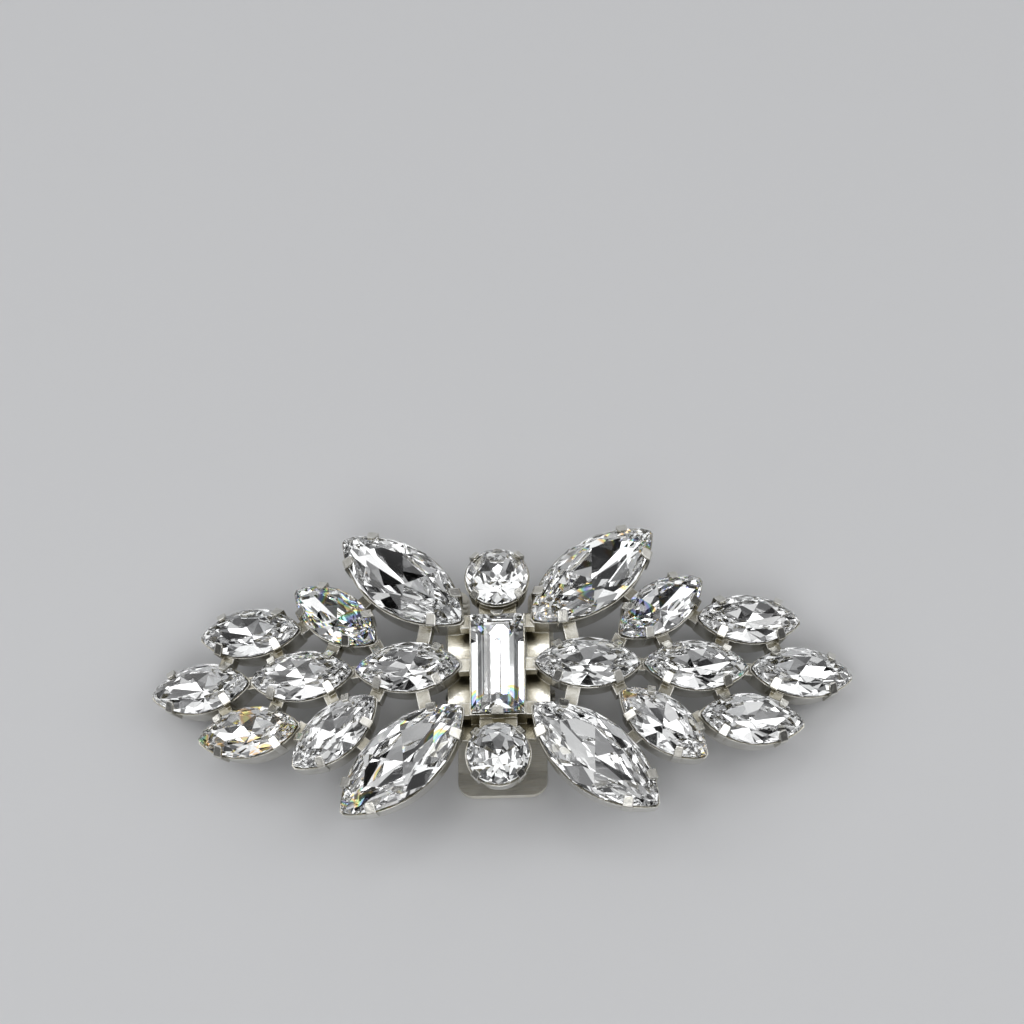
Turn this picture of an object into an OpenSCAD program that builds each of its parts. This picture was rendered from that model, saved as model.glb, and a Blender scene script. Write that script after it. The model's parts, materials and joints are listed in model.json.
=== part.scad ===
// Shoe buckle: a row of clear cut stones in claw settings, with a sprung clip behind.
// Millimetres. +Z is the face, +X runs along the row, and the clip's back lies on z = 0.

/* [Boat-shaped stones] */
// Length of a small stone from tip to tip
small_l = 10; // [9:0.1:11.5]
// Width of a small stone
small_w = 5; // [4.4:0.1:5.6]
// Height of a small stone above its girdle
small_crown = 0.9; // [0.7:0.05:1.2]
// Depth of a small stone below its girdle
small_pavilion = 2.1; // [1.6:0.05:2.4]
// Length of a large stone from tip to tip
large_l = 15; // [13.5:0.1:16]
// Width of a large stone
large_w = 7; // [6.2:0.1:7.8]
// Height of a large stone above its girdle
large_crown = 1.2; // [0.9:0.05:1.5]
// Depth of a large stone below its girdle
large_pavilion = 2.5; // [1.9:0.05:2.6]

/* [Stones on the spine] */
// Diameter of the two round stones
round_d = 6; // [5.5:0.1:6.5]
// Height of a round stone above its girdle
round_crown = 1.1; // [0.8:0.05:1.4]
// Depth of a round stone below its girdle
round_pavilion = 2.4; // [1.9:0.05:2.6]
// Length of the step-cut bar stone
bar_l = 10; // [9:0.1:11]
// Width of the step-cut bar stone
bar_w = 5; // [4.4:0.1:5.6]
// Height of the bar stone above its girdle
bar_crown = 1; // [0.8:0.05:1.3]
// Depth of the bar stone below its girdle
bar_pavilion = 2.2; // [1.7:0.05:2.4]

/* [Cut] */
// Width of the table as a share of the stone
table_share = 0.6; // [0.5:0.01:0.68]
// Width of the bar stone's table as a share of the stone
bar_table_share = 0.48; // [0.4:0.01:0.6]
// Height of the straight band round each stone
girdle_t = 0.25; // [0.15:0.01:0.4]

/* [Cups and claws] */
// Thickness of the sheet metal of a cup
cup_wall = 0.2; // [0.16:0.01:0.24]
// How far the rim of a cup stands out past the girdle of its stone
rim_out = 0.15; // [0.12:0.01:0.25]
// Gap between a stone and the metal that holds it
seat_gap = 0.05; // [0.04:0.01:0.08]
// Depth of a cup below the girdle of its stone
cup_depth = 3; // [2.9:0.05:3.4]
// How much each side of a cup leans in over its depth
cup_taper = 0.4; // [0.2:0.05:0.6]
// Width of the ledge round the floor of a cup
ledge_w = 0.9; // [0.6:0.05:1.1]
// Thickness of that ledge
ledge_t = 0.35; // [0.3:0.01:0.5]
// Thickness of a claw
claw_t = 0.28; // [0.22:0.01:0.34]
// Distance of a claw from the tip of its boat-shaped stone, along the stone
claw_inset = 2.05; // [1.7:0.05:2.5]
// Width of a claw on a small stone
small_claw_w = 0.8; // [0.6:0.05:1]
// Width of a claw on a large stone
large_claw_w = 0.95; // [0.7:0.05:1.2]
// Width of the claw at each end of the bar stone
bar_claw_w = 1.2; // [0.8:0.1:1.6]
// How far a claw reaches in over the stone
claw_reach = 1.05; // [0.7:0.05:1.2]
// How far a claw reaches in over a round stone or the bar stone
short_reach = 0.75; // [0.5:0.05:0.9]

/* [Layout] */
// Radius of the arch along the row
arch_r = 96; // [84:1:140]
// Radius of the arch across the row
cross_r = 110; // [84:1:160]
// Gap between the cups that follow each other in the row
row_gap = 0.12; // [0.08:0.01:0.3]
// Gap between the bar stone's cup and the row
spine_gap = 0.8; // [0.5:0.05:1]
// Gap between the bar stone's cup and the round ones
end_gap = 0.8; // [0.6:0.05:1.1]
// Width of the soldered neck that fills that gap
neck_w = 3.6; // [3:0.1:4.2]
// Slope of the large stones to the row in degrees
large_slope = 40; // [37:0.5:43]
// Gap between the foot of a large cup and the bar stone's cup
foot_gap = 0.7; // [0.5:0.05:0.9]
// Gap between the large cups and the inner row cups
large_gap = 1.7; // [1.4:0.05:2]
// Slope of the slanting small stones to the row in degrees
slant_slope = 38; // [36:0.5:41]
// Gap between the slanting cups and the large cups
slant_gap = 0.6; // [0.4:0.05:0.8]
// Gap between the slanting cups and the row
slant_row_gap = 1; // [0.85:0.05:1.25]
// Least gap between the tip of a slanting cup and the inner row cup
slant_tip_gap = 0.3; // [0.2:0.05:0.5]
// Slope of the outer small stones to the row in degrees
outer_slope = 2; // [0:0.5:4]
// Gap between the outer cups and the row
outer_gap = 0.8; // [0.6:0.05:1]

/* [Clip] */
// Thickness of the plate soldered behind the cups
plate_t = 0.6; // [0.5:0.05:0.8]
// Width of that plate
plate_w = 9.8; // [9.5:0.1:10.6]
// Reach of that plate towards the jaw end
plate_jaw = 6.2; // [5.8:0.1:6.8]
// Reach of that plate towards the thumb end
plate_thumb = 6.8; // [6.6:0.1:7.2]
// Thickness of the lever
lever_t = 0.5; // [0.4:0.05:0.6]
// Reach of the lever towards the thumb end
thumb_reach = 10.6; // [9.8:0.1:11.4]
// Length of the thumb tab that is bent up
tab_l = 2.8; // [2:0.1:3.4]
// Angle of that bend in degrees
tab_bend = 14; // [8:1:18]
// Radius of the corners of the thumb tab
tab_corner = 1.7; // [1:0.1:2.5]
// Reach of the two fingers towards the jaw end
finger_reach = 9.1; // [8.7:0.1:9.6]
// Width of each finger
finger_w = 2.4; // [2:0.1:2.7]
// Distance between the middles of the two fingers
finger_spread = 8; // [7.4:0.1:8.4]
// Length of the ribbed lip that ends each finger
lip_l = 3.8; // [3.4:0.1:4.2]
// Number of ribs across each lip
ribs = 5; // [3:1:6]
// Radius of a rib
rib_r = 0.18; // [0.12:0.01:0.22]
// Gap of the closed jaw
jaw_gap = 0.2; // [0.12:0.01:0.4]
// Radius of the two bends of a finger
finger_bend_r = 1; // [0.7:0.05:1.3]
// Angle at which the fingers rise in degrees
finger_rise = 84; // [76:1:88]
// Gap under the wing tips when the clip lies on a table
tip_clear = 0.4; // [0.3:0.05:0.8]

/* [Hinge] */
// Distance of the pin from the middle of the buckle towards the thumb end
pin_y = 1.5; // [1:0.1:2]
// Depth of the pin behind the plate
pin_drop = 2.7; // [2.5:0.1:3]
// Radius of the pin
pin_r = 0.6; // [0.5:0.05:0.7]
// Running clearance round the pin
pin_clear = 0.05; // [0.03:0.01:0.08]
// Radius of the round end of an ear
ear_r = 1.5; // [1.35:0.05:1.7]
// Thickness of an ear
ear_t = 0.5; // [0.4:0.05:0.6]
// Gap between an ear of the lever and an ear of the plate
ear_gap = 0.12; // [0.08:0.01:0.2]
// Radius of a head of the pin
head_r = 0.95; // [0.85:0.05:1.1]
// Thickness of a head of the pin
head_t = 0.3; // [0.2:0.05:0.4]
// Diameter of the spring wire
wire_d = 0.5; // [0.4:0.05:0.6]
// Turns of the spring
turns = 5; // [3:1:6]
// Gap between the coil and the pin
coil_gap = 0.3; // [0.2:0.05:0.5]
// Length of each leg of the spring
leg_l = 4.2; // [3.6:0.1:4.6]

/* [Hidden] */
$fn = 64;
eps = 0.02;
blunt = 0.25;               // how much the point of a boat shape is cut short
star_share = 0.5;           // height of the crown's inner corners as a share of the crown
lower_share = 0.3;          // how far the lower facets reach towards the culet
claw_clear = 0.07;          // gap between a claw and its stone
claw_root = 1.9;            // length of the claw on the wall of its cup
link_w = 1.3;               // width of a soldered link between two cups
link_top = -0.5;            // top of a link, measured from the girdle
link_h = 1.2;               // height of a link
link_bite = 0.3;            // how far a link is sunk into a cup, measured at the girdle
point_r = 0.3;              // radius that stands for the tip of a cup in a link
plate_bite = 0.12;          // how far the plate is sunk into the cups it is soldered to
neck_top = -1.1;            // top of the neck between the bar stone's cup and a round one
bend_steps = 5;             // flats that make up each bend of a claw or a finger
corner_steps = 6;           // flats that make up the round corner of a tab
ear_side = 0.93;            // half the width of an ear as a share of the radius of its round end
rib_share = 0.8;            // length of a rib as a share of the finger's width
rib_pitch = 3;              // distance from rib to rib as a share of the rib's radius
coil_pitch = 1.15;          // distance from turn to turn as a share of the wire's diameter
coil_steps = 10;            // straight pieces in one turn of the spring
wire_sides = 6;             // sides of the spring's wire
leg_gap = 0.12;             // gap between a leg of the spring and the metal that it presses on

lean = cup_taper / cup_depth;
cup_out = rim_out;
seat_out = cup_out - cup_wall;
claw_in = seat_gap + girdle_t * lean; // the claws clear the lower edge of the girdle by seat_gap
half_small = small_l / 2 + cup_out;
half_large = large_l / 2 + cup_out;
half_bar = bar_w / 2 + cup_out;

// Each stone is [length, width, crown, pavilion]
small = [small_l, small_w, small_crown, small_pavilion];
large = [large_l, large_w, large_crown, large_pavilion];

// The rim of a cup lies under the girdle, clear of the lower facets, which fall at the slope steep
function rim_z(steep) = -girdle_t - steep * (lean / 2 - seat_out) - 1.5 * seat_gap;
function cut_steep(depth, half) = 1.15 * (depth - girdle_t) / half;

// A boat shape is bounded by two arcs, each with its centre beyond the opposite side
function arc_r(s) = (pow(s[0] / 2 + blunt, 2) + pow(s[1] / 2, 2)) / s[1];
function arc_c(s) = arc_r(s) - s[1] / 2;
function cup_r(s) = arc_r(s) + cup_out;

// Centre of the arc that bounds one side of a cup at p, turned by a; side is 1 or -1
function arc_at(s, p, a, side) = p + arc_c(s) * side * [sin(a), -cos(a)];

// The meeting point of two circles that lies further along +X
function meet(c1, r1, c2, r2) =
    let (d = norm(c2 - c1), u = (c2 - c1) / d)
    let (along = (r1 * r1 - r2 * r2 + d * d) / (2 * d))
    let (off = sqrt(r1 * r1 - along * along))
    let (q1 = c1 + along * u + off * [-u.y, u.x], q2 = c1 + along * u - off * [-u.y, u.x])
    q1.x > q2.x ? q1 : q2;

// Places on the flat bench, before the work is bent to its arch
inner_p = [half_bar + spine_gap + half_small, 0];
middle_p = inner_p + [2 * half_small + row_gap, 0];
tip_p = middle_p + [2 * half_small + row_gap, 0];
round_p = [0, bar_l / 2 + cup_out + end_gap + cup_out + round_d / 2];

inner_arc = arc_at(small, inner_p, 0, 1);
middle_arc = arc_at(small, middle_p, 0, 1);
tip_arc = arc_at(small, tip_p, 0, 1);

// A large cup stands off the inner row cup by large_gap
large_x = half_bar + foot_gap + half_large * cos(large_slope);
large_shift = arc_at(large, [large_x, 0], large_slope, -1);
large_far = cup_r(large) + cup_r(small) + large_gap;
large_rise = sqrt(pow(large_far, 2) - pow(large_shift.x - inner_arc.x, 2));
large_p = [large_x, inner_arc.y - large_shift.y + large_rise];
large_arc = arc_at(large, large_p, large_slope, -1);

// A slanting cup nests between the large cup and the row, and its tip clears the inner row cup
slant_up = arc_at(small, [0, 0], slant_slope, 1);
slant_down = arc_at(small, [0, 0], slant_slope, -1);
slant_off = cup_r(large) + cup_r(small) + slant_gap;
slant_tip = (half_small - point_r) * [cos(slant_slope), sin(slant_slope)];
by_middle = meet(large_arc - slant_up, slant_off, middle_arc - slant_down, 2 * cup_r(small) + slant_row_gap);
by_inner =
    meet(large_arc - slant_up, slant_off, inner_arc + slant_tip, cup_r(small) + point_r + slant_tip_gap);
slant_p = by_inner.x > by_middle.x ? by_inner : by_middle;
slant_arc = slant_p + slant_down;

// An outer cup nests over the meeting of the middle and tip cups
outer_down = arc_at(small, [0, 0], outer_slope, -1);
outer_mid = (middle_arc + tip_arc) / 2 - outer_down;
outer_far = 2 * cup_r(small) + outer_gap;
outer_p = outer_mid + [0, sqrt(pow(outer_far, 2) - pow((tip_p.x - middle_p.x) / 2, 2))];
outer_arc = outer_p + outer_down;

// Every boat-shaped stone: [name, stone, place on the right upper quarter, slope, x side, y side]
sides = [["left", -1], ["right", 1]];
corners = [["upper_left", -1, 1], ["upper_right", 1, 1], ["lower_left", -1, -1], ["lower_right", 1, -1]];
row_kinds = [["inner_stone_", inner_p], ["middle_stone_", middle_p], ["tip_stone_", tip_p]];
wing_kinds = [
    ["large_stone_", large, large_p, large_slope],
    ["slant_stone_", small, slant_p, slant_slope],
    ["outer_stone_", small, outer_p, outer_slope]
];
boats = [
    for (k = row_kinds) for (s = sides) [str(k[0], s[0]), small, k[1], 0, s[1], 1],
    for (k = wing_kinds) for (c = corners) [str(k[0], c[0]), k[1], k[2], k[3], c[1], c[2]]
];
rounds = [["round_stone_upper", 1], ["round_stone_lower", -1]];

// Heights, measured from the girdle of the bar stone before the buckle is lifted onto its clip
plate_top = plate_bite - cup_depth;
plate_back = plate_top - plate_t;
tip_turn = tip_p.x / arch_r * 180 / PI;
tip_low = (arch_r - cup_depth) * cos(tip_turn) - arch_r - half_small * sin(tip_turn);
clip_back = tip_low - tip_clear;
lift = -clip_back;
lever_z = clip_back + lever_t / 2;
pin_z = plate_back - pin_drop;
lip_z = plate_back - jaw_gap - rib_r - lever_t / 2;

lever_w = plate_w - 2 * (ear_t + ear_gap);
rise = lip_z - lever_z;
rise_straight = (rise - 2 * finger_bend_r * (1 - cos(finger_rise))) / sin(finger_rise);
rise_run = 2 * finger_bend_r * sin(finger_rise) + rise_straight * cos(finger_rise);
flat_end = finger_reach - lip_l - rise_run;
flat_start = tab_l - thumb_reach;

// Bends a flat place onto the arch
module on_arch(p) {
    translate([0, 0, lift - arch_r])
        rotate([0, p.x / arch_r * 180 / PI, 0])
            translate([0, 0, arch_r - cross_r])
                rotate([-p.y / cross_r * 180 / PI, 0, 0])
                    translate([0, 0, cross_r]) children();
}

// Puts a boat-shaped stone or its cup in its place; the left and lower ones are mirrored
module seat(b) {
    on_arch([b[2].x * b[4], b[2].y * b[5]])
        rotate(b[3] * b[4] * b[5]) children();
}

// A cut stone. Its outline points come with their outward directions; every second one is a main facet.
function cut_points(outline, out, crown, pavilion) =
    let (n = len(outline) / 2)
    let (main = [for (k = [0 : n - 1]) 2 * k])
    let (reach = [for (j = main) outline[j] * out[j]])
    let (corner = function (k, t) let (i = (k + 1) % n, a = out[main[k]], b = out[main[i]])
        t * [reach[k] * b.y - reach[i] * a.y, a.x * reach[i] - b.x * reach[k]] / (a.x * b.y - a.y * b.x))
    concat(
        [for (k = main) [outline[k].x * table_share, outline[k].y * table_share, crown]],
        [for (k = [0 : n - 1]) let (c = corner(k, 1 - (1 - table_share) * star_share))
            [c.x, c.y, crown * star_share]],
        [for (g = outline) [g.x, g.y, 0]],
        [for (g = outline) [g.x, g.y, -girdle_t]],
        [for (k = [0 : n - 1]) let (c = corner(k, 1 - lower_share))
            [c.x, c.y, -girdle_t - (pavilion - girdle_t) * lower_share]],
        [[0, 0, -pavilion]]
    );

function cut_faces(n) =
    let (star = n, edge = 2 * n, under = 4 * n, low = 6 * n, culet = 7 * n)
    concat(
        [[for (k = [n - 1 : -1 : 0]) k]],
        [for (k = [0 : n - 1]) [k, (k + 1) % n, star + k]],
        [for (k = [0 : n - 1]) [k, star + k, edge + 2 * k, star + (k + n - 1) % n]],
        [for (k = [0 : n - 1]) [star + k, edge + 2 * k + 1, edge + 2 * k]],
        [for (k = [0 : n - 1]) [star + k, edge + (2 * k + 2) % (2 * n), edge + 2 * k + 1]],
        [for (j = [0 : 2 * n - 1])
            [edge + j, edge + (j + 1) % (2 * n), under + (j + 1) % (2 * n), under + j]],
        [for (k = [0 : n - 1]) [low + k, under + 2 * k, under + 2 * k + 1]],
        [for (k = [0 : n - 1]) [low + k, under + 2 * k + 1, under + (2 * k + 2) % (2 * n)]],
        [for (k = [0 : n - 1]) [culet, low + (k + n - 1) % n, under + 2 * k, low + k]]
    );

// Outline of a boat-shaped stone, point by point round it. The claws stand on its second main facets.
function claw_angle(s) = acos(1 - 2 * claw_inset / s[0]);
function half_angles(s) =
    let (a = claw_angle(s), b = (a + 90) / 2)
    [0, a / 2, a, b, 90, 180 - b, 180 - a, 180 - a / 2];
function boat_angles(s) = concat(half_angles(s), [for (a = half_angles(s)) a + 180]);
function boat_point(s, a) =
    let (x = s[0] / 2 * cos(a), y = sqrt(pow(arc_r(s), 2) - x * x) - arc_c(s))
    abs(sin(a)) < eps ? [x, 0] : [x, sign(sin(a)) * y];
function boat_out(s, a) =
    let (p = boat_point(s, a), v = [p.x, p.y + sign(sin(a)) * arc_c(s)])
    abs(sin(a)) < eps ? [sign(p.x), 0] : v / norm(v);

module boat_stone(s) {
    angles = boat_angles(s);
    outline = [for (a = angles) boat_point(s, a)];
    out = [for (a = angles) boat_out(s, a)];
    color("aliceblue") polyhedron(cut_points(outline, out, s[2], s[3]), cut_faces(len(angles) / 2));
}

module round_stone() {
    out = [for (i = [0 : 15]) let (a = 360 * i / 16) [cos(a), sin(a)]];
    points = cut_points(round_d / 2 * out, out, round_crown, round_pavilion);
    color("aliceblue") polyhedron(points, cut_faces(len(out) / 2));
}

// The bar stone is a pile of rectangles: each step is [inset, height]
function bar_steps() = [
    [0.47 * bar_w, -bar_pavilion],
    [0.2 * bar_w, -0.6 * bar_pavilion],
    [0, -girdle_t],
    [0, 0],
    [(1 - bar_table_share) * 0.27 * bar_w, 0.6 * bar_crown],
    [(1 - bar_table_share) * 0.5 * bar_w, bar_crown]
];
module bar_stone() {
    steps = bar_steps();
    n = len(steps);
    points = [for (s = steps) for (c = [[1, 1], [-1, 1], [-1, -1], [1, -1]])
        [c.x * (bar_w / 2 - s[0]), c.y * (bar_l / 2 - s[0]), s[1]]];
    faces = concat([[0, 1, 2, 3]], [[for (i = [3 : -1 : 0]) 4 * (n - 1) + i]],
        [for (k = [0 : n - 2]) for (i = [0 : 3])
            [4 * k + i, 4 * k + 4 + i, 4 * k + 4 + (i + 1) % 4, 4 * k + (i + 1) % 4]]);
    color("aliceblue") polyhedron(points, faces);
}

// Points along an arc of radius r about c, from angle a0 to a1
function bow(c, r, a0, a1) =
    [for (i = [0 : bend_steps]) let (a = a0 + (a1 - a0) * i / bend_steps) c + r * [cos(a), sin(a)]];

// A claw of width w stands at the origin, against a stone that lies towards -X and rises at slope
module claw(w, slope, reach) {
    low = claw_clear / cos(slope);
    root = claw_in;
    outer = root + claw_t;
    foot = claw_root * lean;
    tip_x = root - reach * cos(slope);
    function inside(x) = low - x * tan(slope);
    up = claw_t * [sin(slope), cos(slope)];
    tip = [tip_x, inside(tip_x)];
    shoulder = bow([root, inside(root)], claw_t, 90 - slope, 0);
    under = [[root - foot, -claw_root], [root, inside(root)], tip, tip + up];
    profile = concat(under, shoulder, [[outer - foot, -claw_root]]);
    r = w / 2;
    plan = concat([[outer + r, r]], [for (a = [90 : 30 : 270]) [tip_x + r, 0] + r * [cos(a), sin(a)]],
        [[outer + r, -r]]);
    intersection() {
        rotate([90, 0, 0]) linear_extrude(w + 1, center = true) polygon(profile);
        translate([0, 0, -claw_root - 1]) linear_extrude(claw_root + 4) polygon(plan);
    }
}

// The space between the two leaning side walls of a boat shape
module boat_space(s, gap, top, bottom) {
    intersection() {
        intersection_for(side = [-1, 1])
            translate([0, side * arc_c(s), bottom]) {
                r = arc_r(s) + gap;
                cylinder(h = top - bottom, r1 = r + bottom * lean, r2 = r + top * lean);
            }
        translate([-s[0] / 2 - gap, -s[1], bottom]) cube([s[0] + 2 * gap, 2 * s[1], top - bottom]);
    }
}

module boat_cup(s, w) {
    difference() {
        boat_space(s, cup_out, rim_z(cut_steep(s[3], s[1] / 2)), -cup_depth);
        boat_space(s, seat_out, 1, ledge_t - cup_depth);
        boat_space(s, seat_out - ledge_w, 0, -cup_depth - 1);
    }
    c = claw_angle(s);
    for (a = [c, 180 - c, 180 + c, -c]) {
        p = boat_point(s, a);
        out = boat_out(s, a);
        slope = atan(s[2] / ((1 - table_share) * (p * out)));
        translate([p.x, p.y, 0]) rotate(atan2(out.y, out.x)) claw(w, slope, claw_reach);
    }
}

module round_cup() {
    r = round_d / 2;
    rim = rim_z(cut_steep(round_pavilion, r));
    rotate_extrude()
        polygon([[r + seat_out, rim], [r + cup_out, rim], [r + cup_out - cup_taper, -cup_depth],
            [r - ledge_w, -cup_depth], [r - ledge_w, ledge_t - cup_depth],
            [r + seat_out - cup_taper, ledge_t - cup_depth]]);
    slope = atan(round_crown / ((1 - table_share) * r));
    for (a = [45 : 90 : 315]) rotate(a) translate([r, 0, 0]) claw(small_claw_w, slope, short_reach);
}

module bar_cup() {
    w = bar_w + 2 * cup_out;
    l = bar_l + 2 * cup_out;
    hole_w = bar_w - 2 * ledge_w;
    hole_l = bar_l - 2 * ledge_w;
    rim = rim_z((bar_steps()[2][1] - bar_steps()[1][1]) / bar_steps()[1][0]);
    difference() {
        translate([-w / 2, -l / 2, -cup_depth]) cube([w, l, cup_depth + rim]);
        translate([cup_wall - w / 2, cup_wall - l / 2, ledge_t - cup_depth])
            cube([w - 2 * cup_wall, l - 2 * cup_wall, cup_depth]);
        translate([-hole_w / 2, -hole_l / 2, -cup_depth - 1]) cube([hole_w, hole_l, cup_depth]);
    }
    step = bar_steps()[4];
    slope = atan(step[1] / step[0]);
    for (a = [90, -90])
        translate([0, sign(a) * bar_l / 2, 0]) rotate(a) claw(bar_claw_w, slope, short_reach);
}

// A soldered link between two round outlines on the flat bench
module link(c1, r1, c2, r2) {
    far = norm(c2 - c1);
    u = (c2 - c1) / far;
    len = far - r1 - r2 + 2 * link_bite;
    p = c1 + u * (r1 - link_bite + len / 2);
    on_arch(p) rotate(atan2(u.y, u.x))
        translate([-len / 2, -link_w / 2, link_top - link_h]) cube([len, link_w, link_h]);
}

// The links of one quarter of the buckle, each [centre, radius, centre, radius]
function foot(p, half, a) = p - (half - point_r) * [cos(a), sin(a)];
large_foot = foot(large_p, half_large, large_slope);
quarter_links = [
    [large_arc, cup_r(large), inner_arc, cup_r(small)],
    [large_arc, cup_r(large), slant_p + slant_up, cup_r(small)],
    [[half_bar - point_r, large_foot.y], point_r, large_foot, point_r],
    [slant_arc, cup_r(small), middle_arc, cup_r(small)],
    [foot(slant_p, half_small, slant_slope), point_r, inner_arc, cup_r(small)],
    [outer_arc, cup_r(small), middle_arc, cup_r(small)],
    [outer_arc, cup_r(small), tip_arc, cup_r(small)],
    [foot(outer_p, half_small, outer_slope), point_r, slant_arc, cup_r(small)]
];
// Links on the middle lines, each [start of the gap, end of the gap]
row_links = [
    [half_bar, inner_p.x - half_small],
    [inner_p.x + half_small, middle_p.x - half_small],
    [middle_p.x + half_small, tip_p.x - half_small]
];

module links() {
    for (c = corners) for (k = quarter_links) {
        flip = [[c[1], 0], [0, c[2]]];
        link(flip * k[0], k[1], flip * k[2], k[3]);
    }
    for (s = sides) for (k = row_links)
        link([s[1] * (k[0] - point_r), 0], point_r, [s[1] * (k[1] + point_r), 0], point_r);
    for (r = rounds) neck(r[1]);
}

// The neck reaches into the round cup far enough for its corners to meet the curved wall
module neck(side) {
    round_r = round_d / 2 + cup_out;
    start = bar_l / 2 + cup_out - link_bite;
    end = round_p.y - sqrt(pow(round_r, 2) - pow(neck_w / 2, 2)) + link_bite;
    on_arch([0, side * (start + end) / 2])
        translate([-neck_w / 2, (start - end) / 2, neck_top - link_h]) cube([neck_w, end - start, link_h]);
}

// An ear with a bore for the pin. It starts at x, is ear_t thick and reaches the sheet at height z.
module ear(x, z) {
    difference() {
        union() {
            translate([x, -pin_y, lift + pin_z]) rotate([0, 90, 0]) cylinder(h = ear_t, r = ear_r);
            translate([x, -pin_y - ear_r * ear_side, lift + min(z, pin_z)])
                cube([ear_t, 2 * ear_r * ear_side, abs(z - pin_z)]);
        }
        translate([x - 1, -pin_y, lift + pin_z]) rotate([0, 90, 0])
            cylinder(h = ear_t + 2, r = pin_r + pin_clear);
    }
}

module clip_plate() {
    translate([-plate_w / 2, -plate_thumb, lift + plate_back])
        cube([plate_w, plate_thumb + plate_jaw, plate_t]);
    for (x = [-plate_w / 2, plate_w / 2 - ear_t]) ear(x, plate_back + plate_t / 2);
}

module setting_frame() {
    color("silver") {
        for (b = boats) seat(b) boat_cup(b[1], b[1] == large ? large_claw_w : small_claw_w);
        for (r = rounds) on_arch(r[1] * round_p) round_cup();
        on_arch([0, 0]) bar_cup();
        links();
        clip_plate();
    }
}

// A sheet of thickness t bent along a path in the YZ plane and w wide, centred on x
module bent_sheet(path, t, x, w) {
    n = len(path);
    side = [for (i = [0 : n - 1])
        let (a = path[max(i - 1, 0)], b = path[i], c = path[min(i + 1, n - 1)])
        let (u = b == a ? (c - b) / norm(c - b) : (b - a) / norm(b - a))
        let (v = c == b ? u : (c - b) / norm(c - b))
        let (m = (u + v) / norm(u + v))
        t / 2 * [-m.y, m.x] / (m * u)];
    outline = concat([for (i = [0 : n - 1]) path[i] + side[i]],
        [for (i = [n - 1 : -1 : 0]) path[i] - side[i]]);
    translate([x - w / 2, 0, 0]) rotate([90, 0, 90]) linear_extrude(w) polygon(outline);
}

// The rounded end of a tab, seen from above, that reaches y
module round_end(w, y, r, back) {
    d = sign(y);
    right = [for (i = [0 : corner_steps]) let (a = 90 * i / corner_steps)
        [w / 2 - r + r * cos(a), y + d * r * (sin(a) - 1)]];
    left = [for (i = [corner_steps : -1 : 0]) [-right[i].x, right[i].y]];
    polygon(concat([[w / 2, back]], right, left, [[-w / 2, back]]));
}

module finger(x) {
    r = finger_bend_r;
    z = lift + lever_z;
    c1 = [flat_end, z + r];
    low = bow(c1, r, -90, finger_rise - 90);
    top = low[bend_steps] + rise_straight * [cos(finger_rise), sin(finger_rise)];
    c2 = top + r * [sin(finger_rise), -cos(finger_rise)];
    high = bow(c2, r, 90 + finger_rise, 90);
    root = flat_end - 2 * lever_t;
    intersection() {
        bent_sheet(concat([[root, z]], low, high, [[finger_reach, lift + lip_z]]), lever_t, x, finger_w);
        translate([x, 0, 0]) linear_extrude(2 * lift)
            round_end(finger_w, finger_reach, finger_w / 2, root - lever_t);
    }
    rib_l = finger_w * rib_share;
    rib_start = finger_reach - finger_w / 2;
    for (i = [0 : ribs - 1])
        translate([x - rib_l / 2, rib_start - i * rib_r * rib_pitch, lift + lip_z + lever_t / 2])
            rotate([0, 90, 0]) cylinder(h = rib_l, r = rib_r);
}

module clip_lever() {
    z = lift + lever_z;
    tab = [flat_start, z] + tab_l * [-cos(tab_bend), sin(tab_bend)];
    color("gainsboro") {
        intersection() {
            bent_sheet([[tab.x, tab.y], [flat_start, z], [flat_end, z]], lever_t, 0, lever_w);
            linear_extrude(lift) round_end(lever_w, tab.x, tab_corner, flat_end);
        }
        for (x = [-1, 1]) finger(x * finger_spread / 2);
        for (x = [-lever_w / 2, lever_w / 2 - ear_t]) ear(x, lever_z);
    }
}

module hinge_pin() {
    shank = plate_w / 2 + pin_clear;
    color("darkgray") translate([0, -pin_y, lift + pin_z]) rotate([0, 90, 0]) {
        cylinder(h = 2 * shank + eps, r = pin_r, center = true);
        for (s = [-1, 1]) translate([0, 0, s * (shank + head_t / 2)])
            cylinder(h = head_t, r = head_r, center = true);
    }
}

// The spring is one wire: a leg under the plate, a coil round the pin, and a leg on the lever
coil_r = pin_r + coil_gap + wire_d / 2;
coil_l = (turns - 0.5) * coil_pitch * wire_d;
leg_up = asin((pin_drop - wire_d / 2 - leg_gap - coil_r) / leg_l);
leg_down = asin((pin_z - lever_z - lever_t / 2 - wire_d / 2 - leg_gap - coil_r) / leg_l);
coil_start = 90 - leg_up;
coil_sweep = 180 - leg_up - leg_down + 360 * (turns - 1);
coil_end = turns * coil_steps;
function coil_point(k) =
    let (a = coil_start - coil_sweep * k / coil_end)
    [coil_l * (k / coil_end - 0.5), coil_r * cos(a), coil_r * sin(a)];
wire_path = concat(
    [coil_point(0) + leg_l * [0, -cos(leg_up), sin(leg_up)]],
    [for (k = [0 : coil_end]) coil_point(k)],
    [coil_point(coil_end) + leg_l * [0, -cos(leg_down), -sin(leg_down)]]
);

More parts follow.
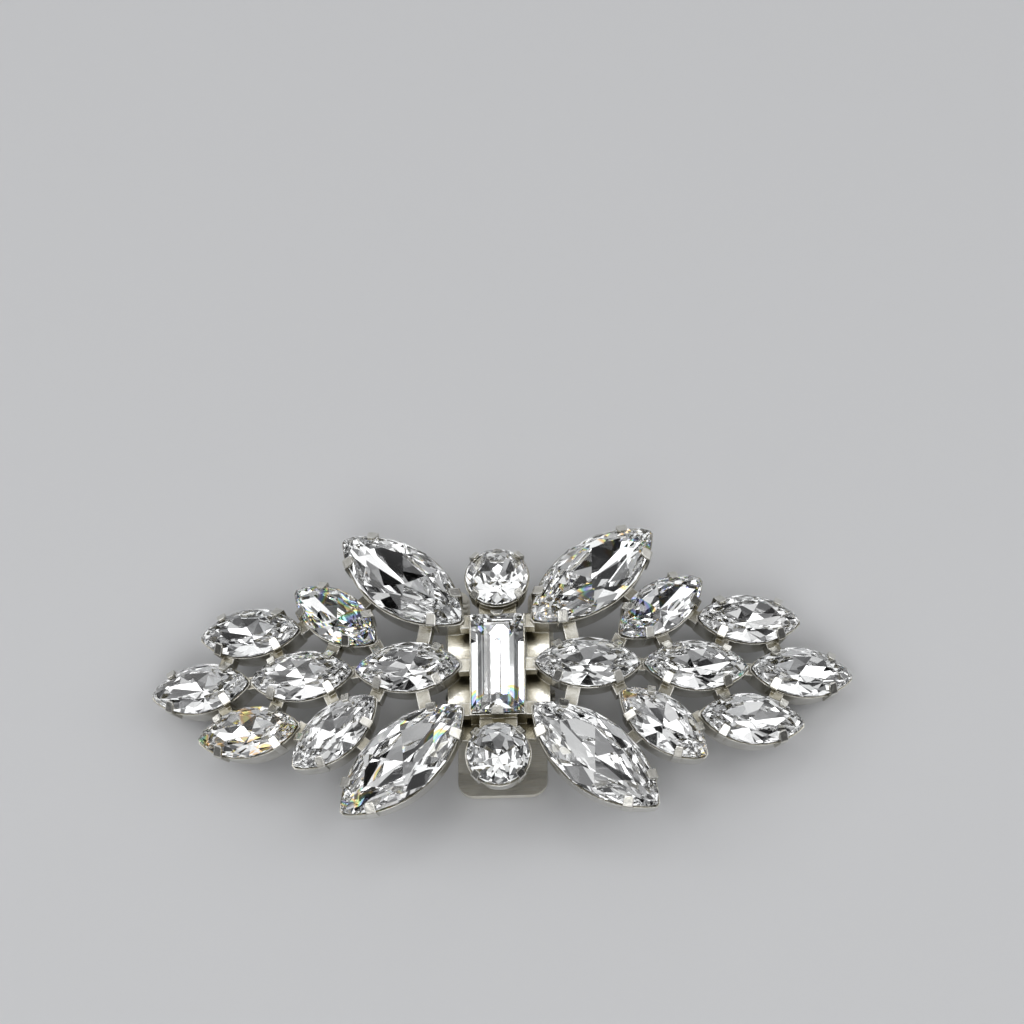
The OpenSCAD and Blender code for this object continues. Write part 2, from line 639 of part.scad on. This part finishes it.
module clip_spring() {
    n = len(wire_path);
    m = wire_sides;
    rings = [for (i = [0 : n - 1])
        let (a = wire_path[max(i - 1, 0)], b = wire_path[min(i + 1, n - 1)], along = (b - a) / norm(b - a))
        let (u = [1, 0, 0] - along.x * along, across = u / norm(u), out = cross(along, across))
        for (j = [0 : m - 1]) let (a = 360 * j / m)
            wire_path[i] + wire_d / 2 * (across * cos(a) + out * sin(a))];
    faces = concat([[for (j = [0 : m - 1]) j]], [[for (j = [m - 1 : -1 : 0]) (n - 1) * m + j]],
        [for (i = [0 : n - 2]) for (j = [0 : m - 1])
            [i * m + j, i * m + m + j, i * m + m + (j + 1) % m, i * m + (j + 1) % m]]);
    color("dimgray") translate([0, -pin_y, lift + pin_z]) polyhedron(rings, faces);
}

setting_frame();
for (b = boats) seat(b) boat_stone(b[1]);
for (r = rounds) on_arch(r[1] * round_p) round_stone();
on_arch([0, 0]) bar_stone();
clip_lever();
hinge_pin();
clip_spring();
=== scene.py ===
# %% [markdown]
# # A shoe buckle of clear cut stones
# The buckle is an arched spray of glass stones in claw-set cups, with a sprung clip behind.
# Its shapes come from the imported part: cups, claws, cut stones, plate, lever and pin are already there.
# This script gives them their looks, puts a smooth wire in the place of the faceted spring, and lights
# the whole for a picture. Lengths are in metres, in the part's own frame.

# %% Load the part
import json
import math
import bpy
from mathutils import Matrix, Vector


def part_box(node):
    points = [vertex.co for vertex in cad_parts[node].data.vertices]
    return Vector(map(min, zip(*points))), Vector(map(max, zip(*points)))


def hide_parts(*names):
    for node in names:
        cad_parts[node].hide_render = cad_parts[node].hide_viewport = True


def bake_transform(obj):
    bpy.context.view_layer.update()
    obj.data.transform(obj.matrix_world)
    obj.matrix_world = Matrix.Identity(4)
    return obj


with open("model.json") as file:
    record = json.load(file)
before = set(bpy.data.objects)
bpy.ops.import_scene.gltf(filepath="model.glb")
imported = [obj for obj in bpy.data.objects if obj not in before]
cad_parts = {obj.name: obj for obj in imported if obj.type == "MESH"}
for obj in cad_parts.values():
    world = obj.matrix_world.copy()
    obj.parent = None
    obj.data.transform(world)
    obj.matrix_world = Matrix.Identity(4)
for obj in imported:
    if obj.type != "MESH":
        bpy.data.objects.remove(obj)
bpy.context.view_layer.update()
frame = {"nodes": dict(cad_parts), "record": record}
nodes = frame["nodes"]
MM = 0.001

# %% [markdown]
# ## Colours and shader nodes
# A colour is given as an sRGB code, and the renderer needs the linear value. One function turns
# one into the other, so every colour below can be read as it looks. Materials could be built with a
# function for each kind of node, but one helper that adds any node with its settings, its links and the
# stops of its colour ramp keeps each material to a few lines that read like the node graph. A noise texture
# repeats about once in 1 / scale, so each scale below is one over a real size.

# %% Helpers for materials
def linear(code):
    parts = [int(code[i:i + 2], 16) / 255 for i in (1, 3, 5)]
    return [c / 12.92 if c <= 0.04045 else ((c + 0.055) / 1.055) ** 2.4 for c in parts] + [1]


def add(tree, kind, settings=(), inputs=(), stops=()):
    node = tree.nodes.new("ShaderNode" + kind)
    for key, value in dict(settings).items():
        setattr(node, key, value)
    for key, value in dict(inputs).items():
        if isinstance(value, bpy.types.NodeSocket):
            tree.links.new(value, node.inputs[key])
        else:
            node.inputs[key].default_value = value
    if stops:
        points = node.color_ramp.elements
        points.remove(points[1])
        points[0].position = stops[0][0]
        points[0].color = linear(stops[0][1])
        for place, code in stops[1:]:
            points.new(place).color = linear(code)
    return node


def material(name, **values):
    made = bpy.data.materials.new(name)
    made.use_nodes = True
    shader = made.node_tree.nodes["Principled BSDF"]
    for key, value in values.items():
        shader.inputs[key.replace("_", " ")].default_value = value
    return made, made.node_tree, shader


print("a mid grey is", [round(c, 3) for c in linear("#808080")])

# %% [markdown]
# ## Silver plate on soldered brass
# The cups, claws, links and plate of the real buckle are stamped brass, soldered and then silver plated.
# The plate is brightest on the rims and the edges of the claws, where fingers and cloth rub it, and it is
# warmer and duller down between the cups, where polishing can't reach and air has yellowed it. A plain
# shiny metal would miss that. Its colour also grows darker in the hollows: that darkening is partly
# tarnish and partly painted shade, added to the shade the renderer casts itself. So the colour and the
# roughness follow how enclosed a spot is and how near it is to an edge, and patches of about a millimetre
# break both up. An edge is found by comparing the face's own direction with a rounded one. A fine bump
# stands for the wavy skin of the solder, and rounded shading on the edges stands for the soft edge that
# stamping leaves.

# %% Silver plate
silver, tree, shader = material("Bright silver plate on brass", Metallic=1.0)
patch_size, wave_size, wave_height = 1.1 * MM, 0.38 * MM, 0.03 * MM
recess_depth, soft_edge, rubbed_edge = 1.6 * MM, 0.13 * MM, 0.24 * MM
patch_share, rubbed_rise, flat_drop = 0.35, 0.15, -0.3
samples = {"samples": 6}
place = add(tree, "TexCoord").outputs["Object"]
patches = add(tree, "TexNoise", inputs={"Vector": place, "Scale": 1 / patch_size, "Detail": 3}).outputs[0]
waves = add(tree, "TexNoise", inputs={"Vector": place, "Scale": 1 / wave_size, "Detail": 2}).outputs[0]
# Painted shade: occlusion darkens the plate's colour where a spot is enclosed, along with a little yellow
# tarnish.
painted_shade_ao = add(tree, "AmbientOcclusion", samples, {"Distance": recess_depth}).outputs["AO"]
wide = add(tree, "Bevel", samples, {"Radius": rubbed_edge}).outputs["Normal"]
flat = add(tree, "NewGeometry").outputs["True Normal"]
bend = add(tree, "VectorMath", {"operation": "DOT_PRODUCT"}, {0: wide, 1: flat}).outputs["Value"]
rubbed = add(tree, "MapRange", inputs={"Value": bend, "From Min": 0.88, "From Max": 0.99,
                                       "To Min": rubbed_rise, "To Max": flat_drop}).outputs["Result"]
uneven = {0: patches, 1: patch_share, 2: painted_shade_ao}
patches_and_shade = add(tree, "Math", {"operation": "MULTIPLY_ADD"}, uneven).outputs[0]
shade_and_wear = add(tree, "Math", {"operation": "ADD"}, {0: patches_and_shade, 1: rubbed}).outputs[0]
# The dark olive stop is reached in hollows, so it is partly tarnish and partly painted shade.
tone = add(tree, "ValToRGB", inputs={"Fac": shade_and_wear}, stops=[
    (0.25, "#7A745F"), (0.65, "#B5B1A4"), (1.0, "#F1F0EB")])
tree.links.new(tone.outputs["Color"], shader.inputs["Base Color"])
dull = add(tree, "MapRange", inputs={"Value": shade_and_wear, "From Min": 0.3, "From Max": 1.1,
                                     "To Min": 0.3, "To Max": 0.12})
tree.links.new(dull.outputs["Result"], shader.inputs["Roughness"])
edges = add(tree, "Bevel", samples, {"Radius": soft_edge}).outputs["Normal"]
skin = add(tree, "Bump", inputs={"Height": waves, "Strength": 0.25, "Distance": wave_height,
                                 "Normal": edges})
tree.links.new(skin.outputs["Normal"], shader.inputs["Normal"])
print(silver.name, "has", len(tree.nodes), "nodes")

# %% [markdown]
# ## Cut crystal glass
# The stones are lead crystal: clear, heavy and a little brighter than window glass, with a refractive
# index near 1.57. What makes them flash is their cut, and that is in the part as real facets, so the
# material stays simple: full transmission and no roughness. A faint cloud in the tint keeps the glass
# from looking like empty air. The back of such a stone is silvered, like a mirror, because glass alone
# lets most of the light out behind. Each facet of the back then shows one flat patch of the room, white
# or dark, and those patches are what the eye takes for sparkle. Real glass also spreads white light into
# colours, which this renderer can't do. Narrow bands of pale spectrum colour in the silvering stand for
# it: where they fall depends on how a facet faces, so a few facets flash and most stay white.

# %% Crystal and the silvering behind it
crystal, tree, shader = material("Clear cut crystal", IOR=1.57, Roughness=0.0)
shader.inputs["Transmission Weight"].default_value = 1.0
cloud_size, flash_size = 8 * MM, 6 * MM
place = add(tree, "TexCoord").outputs["Object"]
clouds = add(tree, "TexNoise", inputs={"Vector": place, "Scale": 1 / cloud_size, "Detail": 2}).outputs["Fac"]
clear = add(tree, "ValToRGB", inputs={"Fac": clouds}, stops=[(0.3, "#F5F7F7"), (0.7, "#FFFFFF")])
tree.links.new(clear.outputs["Color"], shader.inputs["Base Color"])
print(crystal.name, "has IOR", shader.inputs["IOR"].default_value)

foil, tree, shader = material("Silvering behind a stone", Metallic=1.0, Roughness=0.02)
by_facing = (2.4, 2.4, 2.4)
place = add(tree, "TexCoord").outputs["Object"]
facing = add(tree, "NewGeometry").outputs["True Normal"]
across = add(tree, "VectorMath", {"operation": "SCALE"}, {0: place, "Scale": 1 / flash_size}).outputs[0]
spread = add(tree, "VectorMath", {"operation": "MULTIPLY_ADD"}, {0: facing, 1: by_facing, 2: across})
fire = add(tree, "TexNoise", inputs={"Vector": spread.outputs[0], "Scale": 1, "Detail": 0}).outputs["Fac"]
tint = add(tree, "ValToRGB", inputs={"Fac": fire}, stops=[
    (0.3, "#F4F4F4"), (0.755, "#F9F9F9"), (0.77, "#F4C68A"), (0.78, "#ECEB9A"),
    (0.79, "#A6E0AE"), (0.8, "#A6D2F6"), (0.81, "#B4AEF4"), (0.825, "#F4F4F4")])
tree.links.new(tint.outputs["Color"], shader.inputs["Base Color"])
print(foil.name, "has", len(tree.nodes), "nodes")

# %% [markdown]
# ## Steel of the clip
# The lever of the clip is pressed from steel sheet and thinly plated. Rolling has left fine lines along
# the sheet. The plating has nearly filled them, and they still spread each highlight a little. The pin and
# the spring are drawn wire, with deeper lines and a darker, bare steel colour. One function makes all
# three, as they are the same thing in different colours. Its line_size says how long and how fine the
# lines are, in millimetres along x, y and z, and line_depth how deep. Real drawing lines are finer still,
# and are drawn as coarse as they need to show.

# %% Steel
def steel(name, dark, light, line_size, line_depth, roughness):
    spot_size, spot_share, soft_edge = 1.4 * MM, 0.4, 0.08 * MM
    made, tree, shader = material(name, Metallic=1.0)
    place = add(tree, "TexCoord").outputs["Object"]
    stretch = [1 / (size * MM) for size in line_size]
    along = add(tree, "Mapping", inputs={"Vector": place, "Scale": stretch}).outputs["Vector"]
    lines = add(tree, "TexNoise", inputs={"Vector": along, "Scale": 1, "Detail": 3}).outputs[0]
    spots = add(tree, "TexNoise", inputs={"Vector": place, "Scale": 1 / spot_size, "Detail": 2}).outputs[0]
    both = add(tree, "Math", {"operation": "MULTIPLY_ADD"}, {0: spots, 1: spot_share, 2: lines}).outputs[0]
    tone = add(tree, "ValToRGB", inputs={"Fac": both}, stops=[(0.5, dark), (0.85, light)])
    tree.links.new(tone.outputs["Color"], shader.inputs["Base Color"])
    dull = add(tree, "MapRange", inputs={"Value": both, "From Min": 0.5, "From Max": 0.9,
                                         "To Min": roughness * 1.3, "To Max": roughness * 0.8})
    tree.links.new(dull.outputs["Result"], shader.inputs["Roughness"])
    edges = add(tree, "Bevel", samples, {"Radius": soft_edge}).outputs["Normal"]
    skin = add(tree, "Bump", inputs={"Height": lines, "Strength": 0.2, "Distance": line_depth * MM,
                                     "Normal": edges})
    tree.links.new(skin.outputs["Normal"], shader.inputs["Normal"])
    return made


clip_steel = steel("Plated rolled steel sheet", "#ECE9DF", "#F8F6EF",
                   line_size=(2, 0.17, 0.17), line_depth=0.004, roughness=0.6)
pin_steel = steel("Drawn steel pin", "#8E8D88", "#C9C8C2",
                  line_size=(2.5, 0.2, 0.2), line_depth=0.02, roughness=0.26)
spring_steel = steel("Bare spring wire", "#6B6B68", "#A9A9A4",
                     line_size=(0.4, 0.4, 0.4), line_depth=0.02, roughness=0.3)
print("three steels made")

# %% [markdown]
# ## Dressing the pieces
# Each piece of the part takes the material that its record names. Facets have to stay flat to flash, so
# the stones are shaded flat. The facets that face away from a stone's table are the silvered ones.

# %% Give each piece its material
looks = {"silver_plate": silver, "clear_stone": crystal, "clip_steel": clip_steel, "pin_steel": pin_steel,
         "spring_steel": spring_steel}
level, backward = 0.5, -0.2
for part in frame["record"]["subparts"]:
    piece = nodes[part["node"]]
    piece.data.materials.clear()
    piece.data.materials.append(looks[part["material_slot"]])
    if part["material_slot"] == "clear_stone":
        piece.data.materials.append(foil)
        table = max(piece.data.polygons, key=lambda face: face.area * (face.normal.z > level))
        for face in piece.data.polygons:
            face.use_smooth = False
            face.material_index = int(face.normal.dot(table.normal) < backward)

# %% [markdown]
# ## The spring as a smooth wire
# The real spring is one steel wire: a leg under the plate, five turns round the pin, and a leg on the
# lever. In the part it is a chain of straight six-sided pieces. It could be smoothed by shading alone,
# but its outline would stay angular in a close view, so a smooth tube takes its place. Its line follows
# the same coil. It bends between the plate and the lever, because its two legs follow one each.

# %% Spring
low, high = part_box("clip_spring")
pin_low, pin_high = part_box("hinge_pin")
axis_point = (pin_low + pin_high) / 2
wire_r = 0.25 * MM
coil_r = 1.15 * MM
leg = 4.2 * MM
turns = 5
coil_steps, leg_steps = 320, 12
half_w = (high.x - low.x) / 2 - wire_r


def leg_angle(height):
    outside = coil_r + wire_r
    return math.asin(height / math.hypot(outside, leg)) - math.atan2(outside, leg)


leg_up = leg_angle(high.z - axis_point.z)
leg_down = leg_angle(axis_point.z - low.z)
start = math.radians(90) - leg_up
sweep = math.radians(180 + 360 * (turns - 1)) - leg_up - leg_down
line = []
for k in range(coil_steps + 1):
    angle = start - sweep * k / coil_steps
    along = half_w * (2 * k / coil_steps - 1)
    line.append(Vector((along, coil_r * math.cos(angle), coil_r * math.sin(angle))))
first, last = line[0], line[-1]
to_plate = Vector((0, -math.cos(leg_up), math.sin(leg_up)))
to_lever = Vector((0, -math.cos(leg_down), -math.sin(leg_down)))
up = [first + leg * (1 - i / leg_steps) * to_plate for i in range(leg_steps)]
down = [last + leg * (i + 1) / leg_steps * to_lever for i in range(leg_steps)]
line = up + line + down
curve = bpy.data.curves.new("spring_line", "CURVE")
curve.dimensions = "3D"
curve.bevel_depth = wire_r
curve.bevel_resolution = 3
curve.use_fill_caps = True
path = curve.splines.new("POLY")
path.points.add(len(line) - 1)
for point, at in zip(path.points, line):
    point.co = (*(at + axis_point), 1)
drawn = bpy.data.objects.new("spring_drawn", curve)
bpy.context.scene.collection.objects.link(drawn)
bpy.context.view_layer.update()
mesh = bpy.data.meshes.new_from_object(drawn.evaluated_get(bpy.context.evaluated_depsgraph_get()))
bpy.data.objects.remove(drawn)
spring = bpy.data.objects.new("spring_wire", mesh)
bpy.context.scene.collection.objects.link(spring)
for face in mesh.polygons:
    face.use_smooth = len(face.vertices) == 4
mesh.materials.clear()
mesh.materials.append(spring_steel)
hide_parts("clip_spring")
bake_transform(spring)
print("spring of", len(mesh.polygons), "faces, legs rise", round(math.degrees(leg_up), 1),
      "degrees and drop", round(math.degrees(leg_down), 1))

# %% [markdown]
# ## Floor
# Here the buckle lies on a plain, pale sheet of paper. A curved backdrop would do as well, but the sheet
# is large enough to fill the picture, and it takes soft shadows.

# %% Floor
floor_size = 1.6
bpy.ops.mesh.primitive_plane_add(size=floor_size)
floor = bpy.context.object
floor.name = "floor"
paper, tree, shader = material("Plain pale floor", Roughness=0.7)
shader.inputs["Base Color"].default_value = linear("#DCDDDF")
floor.data.materials.append(paper)
print("floor of", floor_size, "m")

# %% [markdown]
# ## Light
# Cut stones show nothing but their surroundings, so the room is as much a part of their look as the glass.
# One even white dome would make every facet the same grey. Photographers hang white cloth round such an
# object and leave gaps, and the facets then find white, grey and black. A soft noise over the directions
# of the room stands for that cloth, with patches about 14 degrees wide as the buckle sees them. The camera
# itself sees a plain pale wall. Flat panels add the bright patches. The back panel and the small one in it
# stand where the flat top of the bar stone mirrors them, and make its long white gleam. A ray inside a
# silvered stone meets many facets before it leaves, so the renderer is told to follow it for 32 turns.

# %% Light
world = bpy.data.worlds.new("room")
bpy.context.scene.world = world
world.use_nodes = True
room = world.node_tree
direction = add(room, "TexCoord").outputs["Generated"]
cloth_width = math.radians(14)
cloth = add(room, "TexNoise", inputs={"Vector": direction, "Scale": 1 / cloth_width, "Detail": 0}).outputs
tent = add(room, "ValToRGB", inputs={"Fac": cloth["Fac"]}, stops=[
    (0.36, "#040404"), (0.43, "#5B5B5C"), (0.53, "#9D9D9E"), (0.63, "#E7E7E7")])
seen = add(room, "LightPath").outputs["Is Camera Ray"]
wall = add(room, "Mix", {"data_type": "RGBA"}, {0: seen, 6: tent.outputs["Color"], 7: linear("#C3C4C6")})
room.links.new(wall.outputs[2], room.nodes["Background"].inputs["Color"])


def soft_light(name, azimuth, height, distance, width, length, brightness):
    a, h = math.radians(azimuth), math.radians(height)
    place = distance * Vector((math.cos(h) * math.sin(a), math.cos(h) * math.cos(a), math.sin(h)))
    lamp = bpy.data.lights.new(name, "AREA")
    lamp.shape = "RECTANGLE"
    lamp.size = width
    lamp.size_y = length
    lamp.energy = brightness * math.pi * width * length
    holder = bpy.data.objects.new(name, lamp)
    bpy.context.scene.collection.objects.link(holder)
    holder.location = place
    holder.rotation_euler = (-place).to_track_quat("-Z", "Y").to_euler()
    print(name, "stands at", [round(c, 2) for c in place])


soft_light("left panel", azimuth=-85, height=48, distance=0.6, width=0.45, length=0.5, brightness=1.2)
soft_light("right panel", azimuth=88, height=46, distance=0.6, width=0.42, length=0.5, brightness=1.1)
soft_light("back panel", azimuth=-6, height=66, distance=0.65, width=0.24, length=0.26, brightness=0.85)
soft_light("front panel", azimuth=180, height=50, distance=0.6, width=0.35, length=0.3, brightness=2.2)
soft_light("bar gleam", azimuth=-6, height=66, distance=0.6, width=0.035, length=0.05, brightness=6.0)
ray_turns = 32
light = bpy.context.scene.cycles
light.max_bounces = ray_turns
light.glossy_bounces = ray_turns
light.transmission_bounces = ray_turns
bpy.context.scene.view_settings.view_transform = "Standard"

# %% [markdown]
# ## Camera
# The photograph looks down on the buckle, a little from the thumb end. The camera could be placed by eye,
# but one that is fitted shows every stone where the photograph has it. The tips of the stones, measured in
# the picture, gave the three angles, the two shifts and the distance below. The fit takes the level of the
# bar stone's girdle as its zero. The long lens keeps the far side of the buckle nearly as large as the
# near one, as in the picture.

# %% Camera
crown_height = 1.0 * MM
girdle_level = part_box("bar_stone")[1].z - crown_height
lean, roll, turn = math.radians(65.014), math.radians(7.03), math.radians(-5.87)
shift_x, shift_y, distance = -1.403 * MM, -14.226 * MM, 360.362 * MM
camera = bpy.data.objects.new("camera", bpy.data.cameras.new("camera"))
focal_pixels, picture_pixels, sensor_mm = 3800, 1024, 36
camera.data.sensor_width = sensor_mm
camera.data.lens = focal_pixels / picture_pixels * sensor_mm
camera.data.clip_start = 0.01
tilt = Matrix(((1, 0, 0), (0, math.sin(lean), math.cos(lean)), (0, -math.cos(lean), math.sin(lean))))
aim = Matrix.Rotation(roll, 3, "Z") @ tilt @ Matrix.Rotation(turn, 3, "Z")
camera.matrix_world = (Matrix.Translation((0, 0, girdle_level)) @ aim.transposed().to_4x4()
                       @ Matrix.Translation((-shift_x, -shift_y, distance)))
bpy.context.scene.collection.objects.link(camera)
bpy.context.scene.camera = camera
print("camera at", [round(c, 3) for c in camera.matrix_world.translation])
